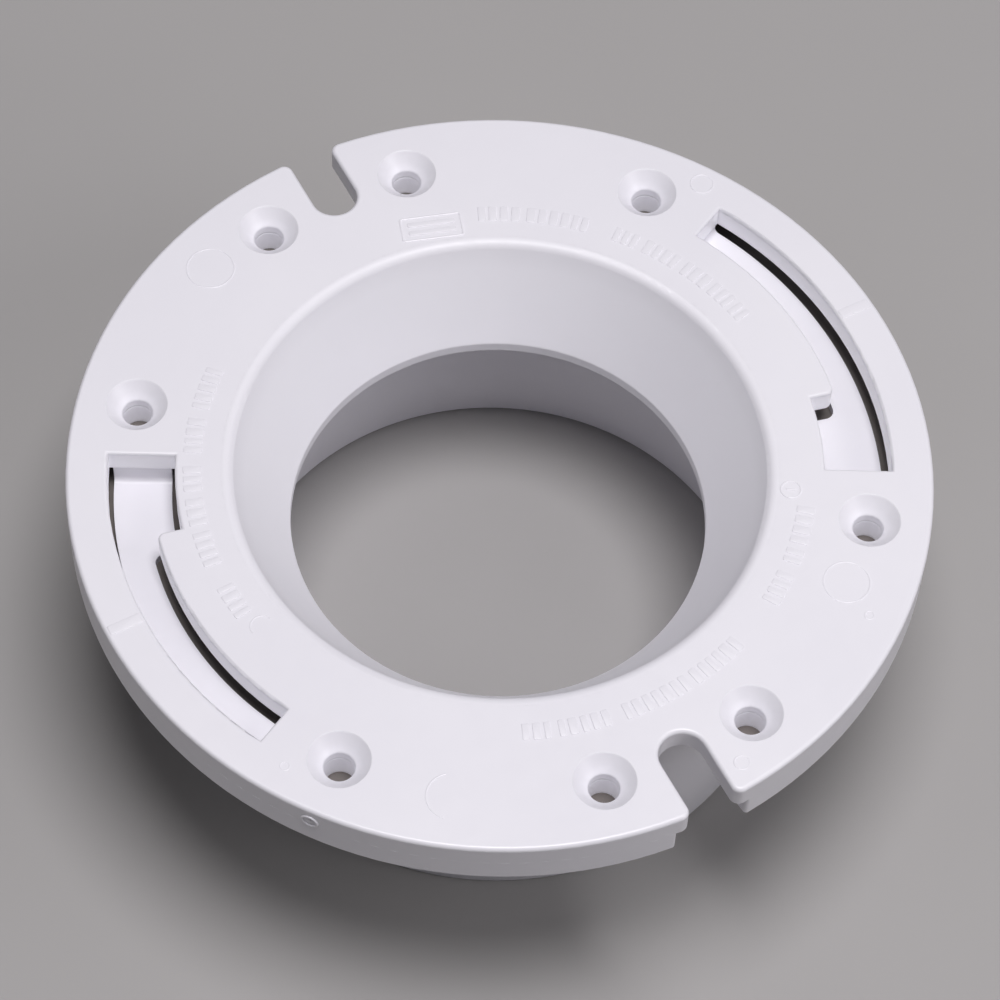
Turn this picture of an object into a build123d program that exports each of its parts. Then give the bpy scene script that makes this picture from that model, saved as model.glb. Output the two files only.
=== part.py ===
from build123d import *
import math
import os

# A 4 inch hub closet flange, moulded in rigid PVC. Millimetres. The origin is on the pipe axis in the
# plane of the finished floor, which the underside of the rim rests on. +Z points up out of the mouth,
# and the two open notches are on +Y and -Y. The real flange is one moulding: the solids here are its
# sections, which meet face to face.

# Overall
RIM_RADIUS = 88.9
RIM_HEIGHT = 11.1
OVERALL_HEIGHT = 66.7
PLATE_THICKNESS = 5.4
PLATE_UNDERSIDE = RIM_HEIGHT - PLATE_THICKNESS
RIM_EDGE_ROUND = 0.9
SLOT_EDGE_ROUND = 0.6

# Mouth and throat: a cone that hangs inside the hub as a thin shell
MOUTH_RADIUS = 57.2
MOUTH_ROUND = 2.4
CONE_TOP_RADIUS = 55.4
THROAT_RADIUS = 43.5
THROAT_DEPTH = 20.5
THROAT_ROUND = 1.0
LIP_DEPTH = 23.4
LIP_ROUND = 0.6
SHELL_WALL = 4.5
CONE_SLOPE = (CONE_TOP_RADIUS - THROAT_RADIUS) / THROAT_DEPTH
SHELL_OFFSET = SHELL_WALL * math.hypot(1, CONE_SLOPE)

# Hub: a socket for 4 inch pipe, 114.3 mm outside
SOCKET_RADIUS = 57.15
SOCKET_LENGTH = 43.2
RECESS_RADIUS = 55.9
HUB_RADIUS = 62.5
HUB_BOTTOM = RIM_HEIGHT - OVERALL_HEIGHT
PIPE_STOP = HUB_BOTTOM + SOCKET_LENGTH
PIPE_LEAD_IN = 0.8
HUB_END_ROUND = 0.8

# Rim skirt, which stops short of each notch
SKIRT_WALL = 3.2
SKIRT_INNER_RADIUS = RIM_RADIUS - SKIRT_WALL
SKIRT_SETBACK = 7.8
SKIRT_END_ROUND = 0.8

# Floor screws: countersunk, on the 6 inch bolt circle, at the same angles either side of each notch
BOLT_CIRCLE_RADIUS = 76.2
SCREW_ANGLES = (12.5, 52.3)
SCREW_RADIUS = 3.175
COUNTERSINK_RADIUS = 6.4
COUNTERSINK_ANGLE = 90
BOSS_RADIUS = 6.0

# Open notches for closet bolts
NOTCH_DIRECTIONS = (90, 270)
NOTCH_WIDTH = 9.7
NOTCH_CORNER_ROUND = 2.0

# Keyed arc slots for closet bolts, on +X and -X: a narrow arc with a wide pocket at its clockwise end
SLOT_DIRECTIONS = {"east": 0, "west": 180}
SLOT_START = -28.5
SLOT_END = 26.4
SLOT_OUTER_RADIUS = 80.4
SLOT_INNER_RADIUS = 71.8
POCKET_RADIUS = 66.6
POCKET_END = -13.2
POCKET_CORNER_ROUND = 1.6

# Channel floor under each slot, which carries the bolt's head, and its end posts. Its top is a ramp that
# rises from the pocket to the narrow end, where it closes on the bolt's head.
FLOOR_LOW = 1.3
FLOOR_HIGH = 3.8
FLOOR_OUTER_RADIUS = 79.6
FLOOR_INNER_RADIUS = 72.85
FLOOR_POCKET_RADIUS = 67.6
FLOOR_POCKET_END = -13.5
FLOOR_CORNER_ROUND = 2.0
FLOOR_END_ROUND = 1.2
POST_ANGLE = 1.2

# Ribs under the plate, from the hub past each screw boss to the skirt
RIB_WALL = 2.4
RIB_BOTTOM = 0.8


def at_angle(radius, angle):
    """The point in plan at a radius and an angle in degrees from +X."""
    return Vector(radius, 0).rotate(Axis.Z, angle)


def screw_directions():
    """The angle of each floor screw."""
    return [notch + side * angle for notch in NOTCH_DIRECTIONS for angle in SCREW_ANGLES for side in (-1, 1)]


def screw_points():
    """The place of each floor screw in plan."""
    return [at_angle(BOLT_CIRCLE_RADIUS, angle) for angle in screw_directions()]


def sector(inner, outer, start, end):
    """An annular sector, as a sketch."""
    with BuildSketch() as area:
        with BuildLine():
            CenterArc((0, 0), outer, start, end - start)
            CenterArc((0, 0), inner, start, end - start)
            for angle in (start, end):
                Line(at_angle(inner, angle), at_angle(outer, angle))
        make_face()
    return area.sketch


def keyed_arc(outer, inner, pocket, start, step, end, corner_round):
    """A narrow arc, as a sketch, with a pocket that widens it inwards from start to step."""
    with BuildSketch() as area:
        add(sector(inner, outer, start, end))
        add(sector(pocket, outer, start, step))
        key_corner = area.vertices().sort_by_distance(at_angle(inner, step))[0]
        fillet(key_corner, corner_round)
    return area.sketch


def make_face_plate():
    """The flat ring that the toilet is bolted to, with its notches, slots and screw holes."""
    slot = keyed_arc(
        SLOT_OUTER_RADIUS, SLOT_INNER_RADIUS, POCKET_RADIUS,
        SLOT_START, POCKET_END, SLOT_END, POCKET_CORNER_ROUND,
    )
    with BuildPart() as face_plate:
        with BuildSketch(Plane.XY.offset(PLATE_UNDERSIDE)) as outline:
            Circle(RIM_RADIUS)
            with PolarLocations(BOLT_CIRCLE_RADIUS, len(NOTCH_DIRECTIONS), start_angle=NOTCH_DIRECTIONS[0]):
                Circle(NOTCH_WIDTH / 2, mode=Mode.SUBTRACT)
                Rectangle(RIM_RADIUS, NOTCH_WIDTH, align=(Align.MIN, Align.CENTER), mode=Mode.SUBTRACT)
            notch_mouths = outline.vertices().group_by(lambda corner: corner.distance_to((0, 0, 0)))[-1]
            fillet(notch_mouths, NOTCH_CORNER_ROUND)
        extrude(amount=PLATE_THICKNESS)
        with BuildSketch(Plane.XY.offset(PLATE_UNDERSIDE)):
            for direction in SLOT_DIRECTIONS.values():
                add(slot, rotation=direction)
        extrude(amount=PLATE_THICKNESS, mode=Mode.SUBTRACT)
        fillet(face_plate.faces().sort_by(Axis.Z)[-1].outer_wire().edges(), RIM_EDGE_ROUND)
        slot_wires = face_plate.faces().sort_by(Axis.Z)[-1].inner_wires()
        fillet([edge for wire in slot_wires for edge in wire.edges()], SLOT_EDGE_ROUND)
        with Locations((0, 0, RIM_HEIGHT)):
            Hole(MOUTH_RADIUS)
        with Locations(*[point + Vector(0, 0, RIM_HEIGHT) for point in screw_points()]):
            CounterSinkHole(SCREW_RADIUS, COUNTERSINK_RADIUS, counter_sink_angle=COUNTERSINK_ANGLE)
    return face_plate


def make_mouth_funnel():
    """The mouth's rounded edge, its cone and the straight lip of the throat."""
    lip_bottom = RIM_HEIGHT - LIP_DEPTH
    outside_at_lip = CONE_TOP_RADIUS - CONE_SLOPE * LIP_DEPTH + SHELL_OFFSET
    outside_at_floor = CONE_TOP_RADIUS - CONE_SLOPE * RIM_HEIGHT + SHELL_OFFSET
    corners = {
        (MOUTH_RADIUS, RIM_HEIGHT): 0,
        (CONE_TOP_RADIUS, RIM_HEIGHT): MOUTH_ROUND,
        (THROAT_RADIUS, RIM_HEIGHT - THROAT_DEPTH): THROAT_ROUND,
        (THROAT_RADIUS, lip_bottom): LIP_ROUND,
        (outside_at_lip, lip_bottom): LIP_ROUND,
        (outside_at_floor, 0): 0,
        (RECESS_RADIUS, 0): 0,
        (RECESS_RADIUS, PLATE_UNDERSIDE): 0,
        (MOUTH_RADIUS, PLATE_UNDERSIDE): 0,
    }
    with BuildPart() as mouth_funnel:
        with BuildSketch(Plane.XZ):
            with BuildLine():
                FilletPolyline(*corners, radius=list(corners.values()), close=True)
            make_face()
        revolve(axis=Axis.Z)
    return mouth_funnel


def make_pipe_hub():
    """The socket that slides over the drain pipe, with a narrow step inside it as the pipe's stop."""
    with BuildPart() as pipe_hub:
        with BuildSketch(Plane.XZ):
            with BuildLine():
                Polyline(
                    (HUB_RADIUS, HUB_BOTTOM),
                    (SOCKET_RADIUS, HUB_BOTTOM),
                    (SOCKET_RADIUS, PIPE_STOP),
                    (RECESS_RADIUS, PIPE_STOP),
                    (RECESS_RADIUS, PLATE_UNDERSIDE),
                    (HUB_RADIUS, PLATE_UNDERSIDE),
                    close=True,
                )
            make_face()
        revolve(axis=Axis.Z)
        end_edges = pipe_hub.edges().group_by(Axis.Z)[0].sort_by(SortBy.RADIUS)
        fillet(end_edges[-1], HUB_END_ROUND)
        chamfer(end_edges[0], PIPE_LEAD_IN)
    return pipe_hub


def make_rim_skirt(direction):
    """Half of the rim's side wall below the plate, from notch to notch."""
    setback_angle = math.degrees(math.asin(SKIRT_SETBACK / RIM_RADIUS))
    with BuildPart() as rim_skirt:
        with BuildSketch():
            quarter = 90 - setback_angle
            add(sector(SKIRT_INNER_RADIUS, RIM_RADIUS, direction - quarter, direction + quarter))
        extrude(amount=PLATE_UNDERSIDE)
        upright_edges = rim_skirt.edges().filter_by(Axis.Z)
        outer_ends = upright_edges.group_by(lambda edge: edge.distance_to((0, 0, 0)))[-1]
        fillet(outer_ends, SKIRT_END_ROUND)
    return rim_skirt


def ramp_plane():
    """The plane of the east channel floor's ramp, as its middle line runs past the bolt circle."""
    low = at_angle(BOLT_CIRCLE_RADIUS, SLOT_START) + Vector(0, 0, FLOOR_LOW)
    high = at_angle(BOLT_CIRCLE_RADIUS, SLOT_END) + Vector(0, 0, FLOOR_HIGH)
    uphill = Vector(0, high.Y - low.Y, high.Z - low.Z)
    return Plane(origin=low, x_dir=(1, 0, 0), z_dir=Vector(1, 0, 0).cross(uphill))


def make_slot_floor(direction):
    """The ramped strip under one slot, narrower than the slot, with posts that hang its ends on the plate."""
    start = SLOT_START - POST_ANGLE
    end = SLOT_END + POST_ANGLE
    strip = keyed_arc(
        FLOOR_OUTER_RADIUS, FLOOR_INNER_RADIUS, FLOOR_POCKET_RADIUS,
        start, FLOOR_POCKET_END, end, FLOOR_CORNER_ROUND,
    )
    ramp = ramp_plane()
    with BuildPart() as slot_floor:
        with BuildSketch():
            add(strip)
        extrude(amount=PLATE_UNDERSIDE)
        split(bisect_by=ramp, keep=Keep.BOTTOM)
        with BuildSketch():
            add(sector(FLOOR_POCKET_RADIUS, FLOOR_OUTER_RADIUS, start, SLOT_START))
            add(sector(FLOOR_INNER_RADIUS, FLOOR_OUTER_RADIUS, SLOT_END, end))
        extrude(amount=PLATE_UNDERSIDE)
        feet = [at_angle(BOLT_CIRCLE_RADIUS, angle) for angle in (SLOT_START, SLOT_END)]
        inside_corners = [
            slot_floor.edges().sort_by_distance(foot + Vector(0, 0, height))[0]
            for foot, height in zip(feet, (FLOOR_LOW, FLOOR_HIGH))
        ]
        fillet(inside_corners, FLOOR_END_ROUND)
    slot_floor.part = slot_floor.part.rotate(Axis.Z, direction)
    return slot_floor


def make_screw_bosses():
    """The tubes that carry the floor screws' holes on down to the floor."""
    with BuildPart() as screw_bosses:
        with BuildSketch():
            with Locations(*screw_points()):
                Circle(BOSS_RADIUS)
                Circle(SCREW_RADIUS, mode=Mode.SUBTRACT)
        extrude(amount=PLATE_UNDERSIDE)
    return screw_bosses


def make_underside_ribs():
    """The radial ribs, each broken by its screw boss."""
    with BuildPart() as underside_ribs:
        with BuildSketch(Plane.XY.offset(RIB_BOTTOM)):
            for angle in screw_directions():
                with Locations(Location((0, 0, 0), (0, 0, angle))):
                    Rectangle(RIM_RADIUS, RIB_WALL, align=(Align.MIN, Align.CENTER))
            Circle(SKIRT_INNER_RADIUS, mode=Mode.INTERSECT)
            Circle(HUB_RADIUS, mode=Mode.SUBTRACT)
            with Locations(*screw_points()):
                Circle(BOSS_RADIUS, mode=Mode.SUBTRACT)
        extrude(amount=PLATE_UNDERSIDE - RIB_BOTTOM)
    return underside_ribs


sections = {
    "face_plate": make_face_plate(),
    "mouth_funnel": make_mouth_funnel(),
    "pipe_hub": make_pipe_hub(),
    "screw_bosses": make_screw_bosses(),
    "underside_ribs": make_underside_ribs(),
}
for side, direction in SLOT_DIRECTIONS.items():
    sections[f"rim_skirt_{side}"] = make_rim_skirt(direction)
    sections[f"slot_floor_{side}"] = make_slot_floor(direction)

os.makedirs("parts", exist_ok=True)
for name, section in sections.items():
    section.part.label = name
    export_step(section.part, f"parts/{name}.step")
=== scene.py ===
import bmesh
import bpy
import math
import random
from mathutils import Matrix, Vector


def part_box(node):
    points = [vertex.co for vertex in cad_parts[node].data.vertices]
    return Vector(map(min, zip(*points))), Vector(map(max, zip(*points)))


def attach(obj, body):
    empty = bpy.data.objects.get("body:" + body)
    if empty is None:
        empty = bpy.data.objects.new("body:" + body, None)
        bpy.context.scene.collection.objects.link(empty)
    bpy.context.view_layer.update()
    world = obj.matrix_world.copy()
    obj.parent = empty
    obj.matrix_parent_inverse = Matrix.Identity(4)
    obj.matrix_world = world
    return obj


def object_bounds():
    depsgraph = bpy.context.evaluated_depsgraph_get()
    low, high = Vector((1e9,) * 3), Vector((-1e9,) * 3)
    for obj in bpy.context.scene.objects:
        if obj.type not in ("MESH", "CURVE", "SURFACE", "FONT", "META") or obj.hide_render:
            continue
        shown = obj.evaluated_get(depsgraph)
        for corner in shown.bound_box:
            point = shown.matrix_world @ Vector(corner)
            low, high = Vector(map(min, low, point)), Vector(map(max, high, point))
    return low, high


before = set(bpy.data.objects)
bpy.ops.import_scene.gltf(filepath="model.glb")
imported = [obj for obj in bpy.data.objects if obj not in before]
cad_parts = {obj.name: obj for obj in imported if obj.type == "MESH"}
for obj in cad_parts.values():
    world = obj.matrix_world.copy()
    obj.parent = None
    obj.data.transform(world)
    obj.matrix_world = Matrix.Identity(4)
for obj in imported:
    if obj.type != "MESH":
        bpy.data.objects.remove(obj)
cad_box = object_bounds()

# A white PVC closet flange. The CAD sections carry its whole shape, so this script gives them their plastic
# and adds what the mould leaves on the surface: ejector marks, blank raised marking, the centre strips and
# the gate's ring. Lengths are in metres, in the frame of the CAD model: +Z up out of the mouth, the open
# notches on +Y and -Y, the keyed slots on +X and -X.

MM = 0.001
BODY = "root"

PLATE_TOP = cad_box[1].z
RIM_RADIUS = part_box("face_plate")[1].x
HUB_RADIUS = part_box("pipe_hub")[1].x
HUB_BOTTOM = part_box("pipe_hub")[0].z
SKIRT_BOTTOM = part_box("rim_skirt_east")[0].z

# Camera, as azimuth and elevation round the middle of the mouth, with the middle of the mouth a little
# above and to the right of the picture's centre
CAMERA_AZIMUTH = -30.09
CAMERA_ELEVATION = 57.75
CAMERA_ROLL = 2.57
CAMERA_LENS = 133.83
CAMERA_DISTANCE = 761.4 * MM
MOUTH_OFFSET = (0.13 * MM, 7.84 * MM)

# Painted light: an emission on the walls of the holes, slots and funnel, standing in for light that seeps
# through the plastic: how strong it gets, how far below the plate's face it starts and how far below it is
# full
HOLE_PAINTED_GLOW = (0.11, 1.8 * MM, 4.5 * MM)
SLOT_PAINTED_GLOW = (0.15, 0.2 * MM, 1.0 * MM)
FUNNEL_PAINTED_GLOW = (0.04, 0.5 * MM, 5.0 * MM)
PAINTED_GLOW_COLOUR = (0.96, 0.95, 1)

# How round the edges of the screw holes and of the slots look
HOLE_EDGE = 0.8 * MM
SLOT_EDGE = 0.5 * MM

# White PVC: the two whites that it drifts between, how many times each unevenness repeats in a metre, how
# deep the ripples and the mould grain are, how rough its surfaces are and how strongly it bends light
PVC_WHITES = ((0.80, 0.79, 0.84), (0.83, 0.82, 0.865))
DRIFT_SCALE = 22
SHINE_SCALE = 260
RIPPLE_SCALE = 90
RIPPLE_DEPTH = 0.05 * MM
GRAIN_SCALE = 5200
FACE_GRAIN = 0.0030 * MM
HUB_GRAIN = 0.0045 * MM
FACE_ROUGHNESS = 0.34
HUB_ROUGHNESS = 0.42
WALL_ROUGHNESS = 0.36
FUNNEL_ROUGHNESS = 0.44
PVC_IOR = 1.53

# Screw holes, four at each notch, and the reach from a hole's axis that takes in its wall or its countersink
BOLT_CIRCLE = 76.2 * MM
SCREW_ANGLES = (37.7, 77.5, 102.5, 142.3, 217.7, 257.5, 282.5, 322.3)
HOLE_REACH = 3.3 * MM
COUNTERSINK_REACH = 6.4 * MM

# Keyed slots: the ring that their walls lie in, and the angle either side of the X axis
SLOT_INSIDE = 65 * MM
SLOT_OUTSIDE = 82 * MM
SLOT_SPAN = math.radians(30)

# A face is part of a wall where its normal rises less than this
WALL_RISE = 0.95

# Relief: how deep a mark's foot is sunk and how far its crest stands proud
SINK = 0.06 * MM
LINE_HEIGHT = 0.09 * MM
LINE_WIDTH = 0.34 * MM

# Blank marking in a ring round the mouth, one tile in place of each letter. Each word is a span of angles.
MARKING_RADIUS = 63.1 * MM
TILE_HEIGHT = 3.7 * MM
TILE_WIDTH = 1.45 * MM
TILE_GAP = 0.75 * MM
TILE_CORNER = 0.3 * MM
TILE_PROUD = 0.13 * MM
MARKING_WORDS = (
    (8, 11), (12, 17), (18, 24), (25, 33), (34, 39.5),
    (45, 57), (58.5, 66.5),
    (131, 141), (142.5, 151), (153.5, 159.5), (161, 167), (169, 176),
    (180.5, 188),
    (245.5, 251), (252.5, 262), (263.5, 278), (280, 290.5),
    (300.5, 308), (309.5, 313.5), (315, 323),
)

# Maker's panel: a blank framed rectangle
PANEL_RADIUS = 61.1 * MM
PANEL_ANGLE = 76
PANEL_TILT = -4
PANEL_SIZE = (13.4 * MM, 6.3 * MM)
PANEL_PROUD = 0.16 * MM
PANEL_LINE = 0.45 * MM
PANEL_CORNER = 0.7 * MM
BAR_LENGTH = 0.76 * PANEL_SIZE[0]
BAR_WIDTH = 0.18 * PANEL_SIZE[1]
BAR_OFFSET = 0.17 * PANEL_SIZE[1]
BAR_CORNER = 0.4 * MM

# Ejector marks and date rings: radius and angle of the centre, the mark's own radius, start and sweep
EJECTOR_MARKS = (
    (77.7, 114.2, 5.2, 0, 360),
    (77.8, 235.0, 5.1, -70, 150),
    (75.0, 310.4, 4.9, 0, 360),
    (84.0, 31.0, 2.6, 0, 360),
    (83.6, 276.4, 1.7, 0, 360),
    (61.8, 192.0, 2.6, -80, 170),
    (81.9, 306.5, 1.1, 0, 360),
    (82.5, 211.5, 1.1, 0, 360),
)
DATE_RING = (59.6, 326.5, 2.2)
DATE_PROUD = 1.5 * LINE_HEIGHT
POINTER_SIZE = (0.5 * MM, 2.0 * MM)
POINTER_CORNER = 0.2 * MM

# Centre strips across the rim outside each slot
STRIP_INNER = 81.0 * MM
STRIP_OUTER = 88.0 * MM
STRIP_WIDTH = 2.2 * MM
STRIP_CORNER = 0.25 * MM
STRIP_PROUD = 0.12 * MM

# Gate ring on the rim's side
GATE_ANGLE = 217.5
GATE_HEIGHT = 7.0 * MM
GATE_RADIUS = 1.9 * MM
GATE_LINE = 0.55 * MM
GATE_PROUD = 0.3 * MM
GATE_PIP = 0.9 * MM
GATE_PIP_CORNER = 0.44 * MM
GATE_PIP_PROUD = 0.18 * MM

# Stage: the floor, and a dark sheet under the rim that stands in for a board: it blocks light, and its dark
# colour is painted shade in the slots' gaps. The sheet keeps clear of the hub, the skirt and the notches
FLOOR_RADIUS = 4
FLOOR_COLOURS = ((0.38, 0.37, 0.365), (0.40, 0.39, 0.385))
SHADE_BOARD_COLOURS = ((0.13, 0.12, 0.11), (0.16, 0.14, 0.13))
BOARD_INNER = HUB_RADIUS + 0.2 * MM
BOARD_OUTER = RIM_RADIUS - 3.6 * MM
BOARD_TOP = SKIRT_BOTTOM - 0.05 * MM
BOARD_HALF_ANGLE = 83

# Lights: how far each stands to the camera's right, towards it and up, its width, and its power
LIGHTS = {
    "key": (0.12, 0.12, 1.59, 0.8, 20.8),
    "right": (1.23, 0.45, 0.92, 1.0, 6.8),
    "left": (-1.11, 0.20, 1.13, 1.0, 1.7),
}
LIGHT_COLOUR = (1.0, 0.98, 1.0)
STUDIO_COLOUR = (0.03, 0.031, 0.035)


# ---------------------------------------------------------------- materials

def new_material(name):
    """A node material with its tree, its Principled shader and its object coordinates."""
    material = bpy.data.materials.new(name)
    material.use_nodes = True
    tree = material.node_tree
    place = tree.nodes.new("ShaderNodeTexCoord").outputs["Object"]
    return material, tree, tree.nodes["Principled BSDF"], place


def noise(tree, place, scale, detail, roughness=0.5):
    """A noise texture with its scale in cycles per metre."""
    node = tree.nodes.new("ShaderNodeTexNoise")
    node.inputs["Scale"].default_value = scale
    node.inputs["Detail"].default_value = detail
    node.inputs["Roughness"].default_value = roughness
    tree.links.new(place, node.inputs["Vector"])
    return node.outputs["Fac"]


def remap(tree, value, low, high, start=0.3, stop=0.7):
    """A value between start and stop, spread from low to high."""
    node = tree.nodes.new("ShaderNodeMapRange")
    node.inputs["From Min"].default_value = start
    node.inputs["From Max"].default_value = stop
    node.inputs["To Min"].default_value = low
    node.inputs["To Max"].default_value = high
    tree.links.new(value, node.inputs["Value"])
    return node.outputs["Result"]


def mix_colours(tree, factor, first, second):
    """Two fixed colours, mixed by a linked factor."""
    node = tree.nodes.new("ShaderNodeMix")
    node.data_type = "RGBA"
    node.inputs["A"].default_value = (*first, 1)
    node.inputs["B"].default_value = (*second, 1)
    tree.links.new(factor, node.inputs["Factor"])
    return node.outputs["Result"]


def bump(tree, height, distance, strength, below=None):
    """A bump of a height texture, in metres, laid over the normal below it."""
    node = tree.nodes.new("ShaderNodeBump")
    node.inputs["Distance"].default_value = distance
    node.inputs["Strength"].default_value = strength
    tree.links.new(height, node.inputs["Height"])
    if below is not None:
        tree.links.new(below, node.inputs["Normal"])
    return node.outputs["Normal"]


def make_pvc(name, roughness, grain, glow=None, edge_radius=0):
    """White rigid PVC: a cool white that drifts a little, with slow ripples and a fine mould grain."""
    material, tree, shader, place = new_material(name)
    drift = remap(tree, noise(tree, place, DRIFT_SCALE, 3), 0, 1)
    colour = mix_colours(tree, drift, *PVC_WHITES)
    tree.links.new(colour, shader.inputs["Base Color"])
    patches = noise(tree, place, SHINE_SCALE, 4, 0.6)
    shine = remap(tree, patches, roughness - 0.04, roughness + 0.05)
    tree.links.new(shine, shader.inputs["Roughness"])
    edges = soften_edges(tree, edge_radius) if edge_radius else None
    ripples = bump(tree, noise(tree, place, RIPPLE_SCALE, 2), RIPPLE_DEPTH, 0.5, edges)
    surface = bump(tree, noise(tree, place, GRAIN_SCALE, 3, 0.55), grain, 0.6, ripples)
    tree.links.new(surface, shader.inputs["Normal"])
    shader.inputs["IOR"].default_value = PVC_IOR
    # Painted light: an emission that brightens the walls below the plate's face
    if glow:
        add_painted_glow(tree, shader, place, *glow)
    return material


def soften_edges(tree, radius):
    """A normal that rounds the edges it meets."""
    edges = tree.nodes.new("ShaderNodeBevel")
    edges.samples = 6
    edges.inputs["Radius"].default_value = radius
    return edges.outputs["Normal"]


def add_painted_glow(tree, shader, place, strength, start, full):
    """Paints light onto a wall below the plate's face as an emission, in place of light through the plastic
    round it, more with depth.
    """
    height = tree.nodes.new("ShaderNodeSeparateXYZ")
    tree.links.new(place, height.inputs["Vector"])
    glow = remap(tree, height.outputs["Z"], strength, 0, PLATE_TOP - full, PLATE_TOP - start)
    shader.inputs["Emission Color"].default_value = (*PAINTED_GLOW_COLOUR, 1)
    tree.links.new(glow, shader.inputs["Emission Strength"])


def dress_screw_holes(node, reach, material):
    """Gives the walls of a section's screw holes, as far as a reach from each axis, their own material."""
    axes = [Matrix.Rotation(math.radians(angle), 2) @ Vector((BOLT_CIRCLE, 0)) for angle in SCREW_ANGLES]

    def in_a_hole(face):
        from_axis = min((face.center.xy - axis).length for axis in axes)
        return from_axis < reach and face.normal.z < WALL_RISE

    dress_faces(node, in_a_hole, material)


def dress_slots(node, material):
    """Gives the walls of the plate's slots, which lie either side of the X axis, their own material."""
    def in_a_slot(face):
        reach = face.center.xy.length
        aside = math.asin(abs(face.center.y) / reach)
        in_ring = SLOT_INSIDE < reach < SLOT_OUTSIDE
        return in_ring and aside < SLOT_SPAN and abs(face.normal.z) < WALL_RISE

    dress_faces(node, in_a_slot, material)


def dress_faces(node, wanted, material):
    """Gives the faces of a CAD section that pass a test their own material."""
    node.data.materials.append(material)
    last_slot = len(node.data.materials) - 1
    for face in node.data.polygons:
        if wanted(face):
            face.material_index = last_slot


def make_matt(name, first, second):
    """A matt surface with a faint unevenness, for the stage."""
    material, tree, shader, place = new_material(name)
    drift = remap(tree, noise(tree, place, 6, 3), 0, 1)
    colour = mix_colours(tree, drift, first, second)
    tree.links.new(colour, shader.inputs["Base Color"])
    shader.inputs["Roughness"].default_value = 0.8
    return material


# ---------------------------------------------------------------- relief on the surface

def on_plate(radius, angle, turn=0):
    """A place on the plate's face: local X runs clockwise round the mouth, Y outwards and Z up."""
    heading = Matrix.Rotation(math.radians(angle - 90), 4, "Z")
    own_turn = Matrix.Rotation(math.radians(turn), 4, "Z")
    return heading @ Matrix.Translation((0, radius, PLATE_TOP)) @ own_turn


def on_rim(angle, height):
    """A place on the rim's side: local X runs round it, Y up and Z straight out."""
    heading = Matrix.Rotation(math.radians(angle + 90), 4, "Z")
    upright = Matrix.Rotation(math.radians(90), 4, "X")
    return heading @ Matrix.Translation((0, -RIM_RADIUS, height)) @ upright


def arc(radius, start=0, sweep=360, steps=48):
    """Points along a circle or an arc of one. A whole circle doesn't repeat its first point."""
    count = steps if sweep >= 360 else steps + 1
    turns = [math.radians(start + sweep * i / steps) for i in range(count)]
    return [Vector((radius * math.cos(turn), radius * math.sin(turn))) for turn in turns]


def rounded_rectangle(width, height, corner, steps=4):
    """The outline of a rectangle with round corners, anticlockwise."""
    outline = []
    signs = ((1, 1), (-1, 1), (-1, -1), (1, -1))
    for quarter, (across, up) in enumerate(signs):
        centre = Vector((across * (width / 2 - corner), up * (height / 2 - corner)))
        quarter_arc = arc(corner, 90 * quarter, 90, steps)
        outline += [centre + point for point in quarter_arc]
    return outline


def add_row(mesh, place, points):
    """Vertices for a row of (x, y, z) points in a place's own axes."""
    return [mesh.verts.new(place @ Vector(point)) for point in points]


def join_rows(mesh, rows, closed):
    """Faces between each row and the next, with ends on an open run."""
    following = rows[1:] + rows[:1] if closed else rows[1:]
    count = len(rows[0])
    for first, second in zip(rows, following):
        for i in range(count):
            j = (i + 1) % count
            mesh.faces.new((first[i], second[i], second[j], first[j]))
    if not closed:
        mesh.faces.new(rows[0])
        mesh.faces.new(rows[-1])


def add_band(mesh, place, inner, outer, height, closed=True):
    """A raised line with a soft crest between two outlines with the same number of points."""
    profile = ((0, -SINK), (1, -SINK), (1, height / 2), (0.72, height), (0.28, height), (0, height / 2))
    rows = []
    for near, far in zip(inner, outer):
        row = [(*near.lerp(far, share), up) for share, up in profile]
        rows.append(add_row(mesh, place, row))
    join_rows(mesh, rows, closed)


def add_pad(mesh, place, width, depth, corner, height):
    """A raised blank tile with a soft shoulder."""
    levels = ((0, -SINK), (0, height * 0.55), (0.045 * MM, height * 0.88), (0.12 * MM, height))
    rows = []
    for inset, up in levels:
        outline = rounded_rectangle(width - 2 * inset, depth - 2 * inset, corner - inset)
        rows.append(add_row(mesh, place, [(*point, up) for point in outline]))
    join_rows(mesh, rows, closed=False)


def finish_piece(name, mesh, material):
    """Turns a bmesh into a named piece that rides on the flange."""
    bmesh.ops.recalc_face_normals(mesh, faces=mesh.faces)
    data = bpy.data.meshes.new(name)
    mesh.to_mesh(data)
    mesh.free()
    for face in data.polygons:
        face.use_smooth = True
    data.set_sharp_from_angle(angle=math.radians(50))
    data.materials.append(material)
    piece = bpy.data.objects.new(name, data)
    bpy.context.scene.collection.objects.link(piece)
    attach(piece, BODY)


def make_marking(material):
    """The ring of blank tiles that stands for the moulded wording."""
    mesh = bmesh.new()
    chance = random.Random(4)
    for start, end in MARKING_WORDS:
        at = end * math.pi / 180 * MARKING_RADIUS
        stop = start * math.pi / 180 * MARKING_RADIUS
        while at - stop > TILE_WIDTH / 2:
            width = TILE_WIDTH * chance.uniform(0.8, 1.25)
            angle = math.degrees((at - width / 2) / MARKING_RADIUS)
            place = on_plate(MARKING_RADIUS, angle)
            add_pad(mesh, place, width, TILE_HEIGHT, TILE_CORNER, TILE_PROUD)
            at -= width + TILE_GAP
    finish_piece("blank_marking", mesh, material)


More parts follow.
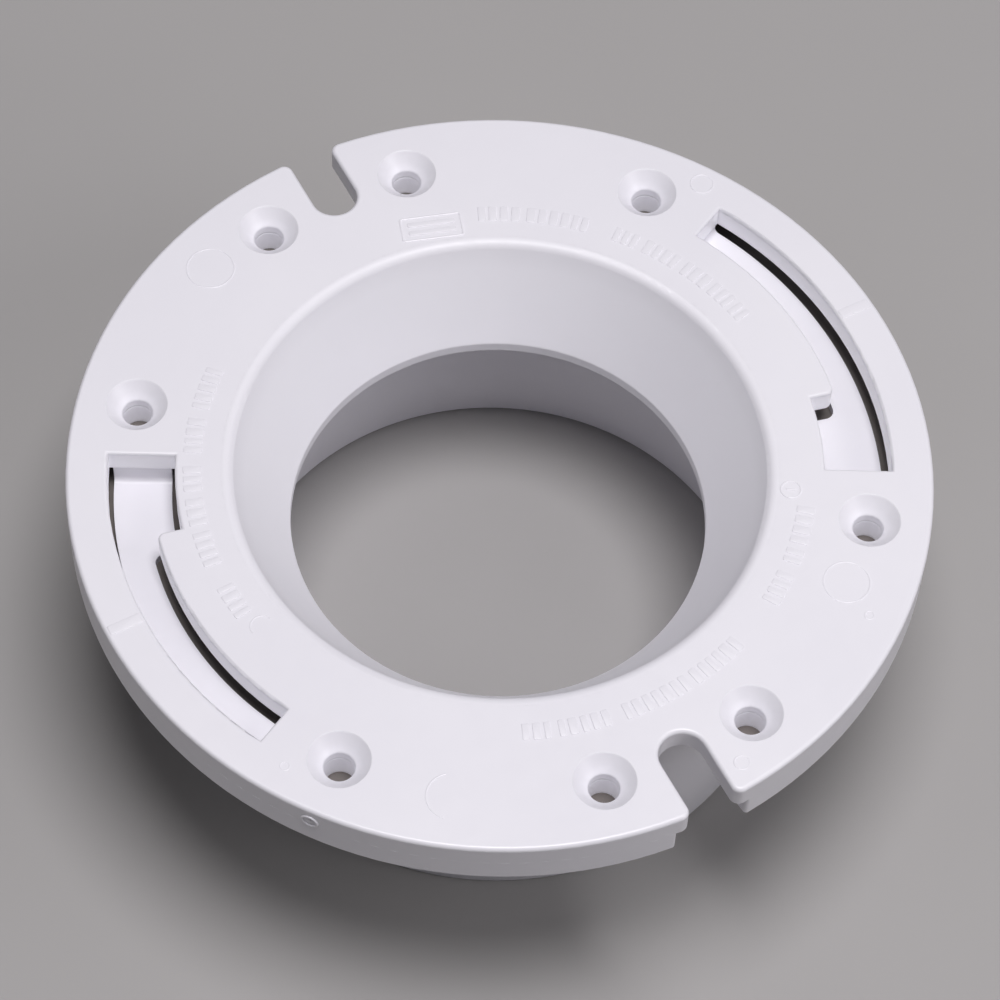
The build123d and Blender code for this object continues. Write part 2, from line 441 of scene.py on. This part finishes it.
def make_panel(material):
    """The blank framed panel with two plain bars."""
    mesh = bmesh.new()
    place = on_plate(PANEL_RADIUS, PANEL_ANGLE, PANEL_TILT)
    width, depth = PANEL_SIZE
    outer = rounded_rectangle(width, depth, PANEL_CORNER)
    inner = rounded_rectangle(width - 2 * PANEL_LINE, depth - 2 * PANEL_LINE, PANEL_CORNER - PANEL_LINE)
    add_band(mesh, place, inner, outer, PANEL_PROUD)
    for up in (-BAR_OFFSET, BAR_OFFSET):
        bar = place @ Matrix.Translation((0, up, 0))
        add_pad(mesh, bar, BAR_LENGTH, BAR_WIDTH, BAR_CORNER, PANEL_PROUD)
    finish_piece("maker_panel", mesh, material)


def make_ejector_marks(material):
    """Thin raised circles that the mould's pins leave, some of them worn to part of a circle."""
    mesh = bmesh.new()
    for centre, angle, radius, start, sweep in EJECTOR_MARKS:
        place = on_plate(centre * MM, angle)
        line = (arc(radius * MM - LINE_WIDTH, start, sweep), arc(radius * MM, start, sweep))
        add_band(mesh, place, *line, LINE_HEIGHT, closed=sweep >= 360)
    finish_piece("ejector_marks", mesh, material)


def make_date_ring(material):
    """The mould's date ring, left blank: a circle with a plain pointer across it."""
    mesh = bmesh.new()
    centre, angle, radius = DATE_RING
    place = on_plate(centre * MM, angle)
    add_band(mesh, place, arc(radius * MM - LINE_WIDTH), arc(radius * MM), DATE_PROUD)
    add_pad(mesh, place, *POINTER_SIZE, POINTER_CORNER, DATE_PROUD)
    finish_piece("date_ring", mesh, material)


def make_centre_strips(material):
    """A low strip across the rim at the middle of each slot."""
    mesh = bmesh.new()
    middle = (STRIP_INNER + STRIP_OUTER) / 2
    length = STRIP_OUTER - STRIP_INNER
    for angle in (0, 180):
        add_pad(mesh, on_plate(middle, angle), STRIP_WIDTH, length, STRIP_CORNER, STRIP_PROUD)
    finish_piece("centre_strips", mesh, material)


def make_gate_ring(material):
    """The ring and pip that the mould's gate leaves on the rim's side."""
    mesh = bmesh.new()
    place = on_rim(GATE_ANGLE, GATE_HEIGHT)
    add_band(mesh, place, arc(GATE_RADIUS - GATE_LINE), arc(GATE_RADIUS), GATE_PROUD)
    add_pad(mesh, place, GATE_PIP, GATE_PIP, GATE_PIP_CORNER, GATE_PIP_PROUD)
    finish_piece("gate_ring", mesh, material)


# ---------------------------------------------------------------- stage

def add_stage(name, mesh, material):
    """A stage object, which isn't part of the flange."""
    data = bpy.data.meshes.new(name)
    mesh.to_mesh(data)
    mesh.free()
    data.materials.append(material)
    thing = bpy.data.objects.new(name, data)
    bpy.context.scene.collection.objects.link(thing)
    return thing


def make_floor(material):
    """A wide pale floor under the hub's end."""
    mesh = bmesh.new()
    bmesh.ops.create_circle(mesh, cap_ends=True, segments=96, radius=FLOOR_RADIUS)
    add_stage("floor", mesh, material).location.z = HUB_BOTTOM


def make_shade(material):
    """Dark sheets that close the rim's hollow from below, as the board does that a flange is screwed to;
    their dark colour is painted shade.
    """
    mesh = bmesh.new()
    for middle in (0, 180):
        span = (middle - BOARD_HALF_ANGLE, 2 * BOARD_HALF_ANGLE)
        spokes = zip(arc(BOARD_INNER, *span), arc(BOARD_OUTER, *span))
        rows = [[mesh.verts.new((*point, BOARD_TOP)) for point in spoke] for spoke in spokes]
        for first, second in zip(rows, rows[1:]):
            mesh.faces.new((first[0], first[1], second[1], second[0]))
    add_stage("shade_board_under_rim", mesh, material)


def make_camera():
    """The camera, aimed so that the middle of the mouth sits at its place in the picture."""
    camera = bpy.data.objects.new("camera", bpy.data.cameras.new("camera"))
    camera.data.lens = CAMERA_LENS
    camera.data.clip_start = 0.01
    turn = (
        Matrix.Rotation(math.radians(CAMERA_AZIMUTH), 4, "Z")
        @ Matrix.Rotation(math.radians(90 - CAMERA_ELEVATION), 4, "X")
        @ Matrix.Rotation(math.radians(CAMERA_ROLL), 4, "Z")
    )
    mouth_in_view = Vector((*MOUTH_OFFSET, -CAMERA_DISTANCE))
    place = Vector((0, 0, PLATE_TOP)) - turn.to_3x3() @ mouth_in_view
    camera.matrix_world = Matrix.Translation(place) @ turn
    bpy.context.scene.collection.objects.link(camera)
    bpy.context.scene.camera = camera


def make_soft_light(name, right, near, up, width, power):
    """A round area light, placed by how far it stands to the camera's right, towards it, and up."""
    heading = Matrix.Rotation(math.radians(CAMERA_AZIMUTH), 3, "Z")
    place = heading @ Vector((right, -near, up))
    light = bpy.data.lights.new(name, "AREA")
    light.shape = "DISK"
    light.size = width
    light.energy = power
    light.color = LIGHT_COLOUR
    lamp = bpy.data.objects.new(name, light)
    lamp.location = place
    lamp.rotation_euler = place.to_track_quat("Z", "Y").to_euler()
    bpy.context.scene.collection.objects.link(lamp)


def make_world():
    """The dim studio beyond the lights."""
    world = bpy.data.worlds.new("studio")
    world.use_nodes = True
    world.node_tree.nodes["Background"].inputs["Color"].default_value = (*STUDIO_COLOUR, 1)
    bpy.context.scene.world = world


make_floor(make_matt("pale_floor", *FLOOR_COLOURS))
# A dark sheet under the rim: it blocks light, and its dark colour is painted shade in the slots' gaps
make_shade(make_matt("painted_shade_board", *SHADE_BOARD_COLOURS))
make_camera()
make_world()
for name, settings in LIGHTS.items():
    make_soft_light(name, *settings)
bpy.context.scene.view_settings.view_transform = "Standard"

face_pvc = make_pvc("pvc_face", FACE_ROUGHNESS, FACE_GRAIN)
hub_pvc = make_pvc("pvc_hub", HUB_ROUGHNESS, HUB_GRAIN)
# The screw holes, slots and funnel get a painted glow on their walls
hole_pvc = make_pvc("pvc_screw_hole", WALL_ROUGHNESS, FACE_GRAIN, HOLE_PAINTED_GLOW, HOLE_EDGE)
slot_pvc = make_pvc("pvc_slot_wall", WALL_ROUGHNESS, FACE_GRAIN, SLOT_PAINTED_GLOW, SLOT_EDGE)
funnel_pvc = make_pvc("pvc_funnel", FUNNEL_ROUGHNESS, FACE_GRAIN, FUNNEL_PAINTED_GLOW)
section_pvc = {"pipe_hub": hub_pvc, "underside_ribs": hub_pvc, "mouth_funnel": funnel_pvc}
for name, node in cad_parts.items():
    node.data.materials.clear()
    node.data.materials.append(section_pvc.get(name, face_pvc))
dress_screw_holes(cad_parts["face_plate"], COUNTERSINK_REACH, hole_pvc)
dress_screw_holes(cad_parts["screw_bosses"], HOLE_REACH, hole_pvc)
dress_slots(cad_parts["face_plate"], slot_pvc)

for make_piece in (
    make_marking, make_panel, make_ejector_marks, make_date_ring, make_centre_strips, make_gate_ring,
):
    make_piece(face_pvc)
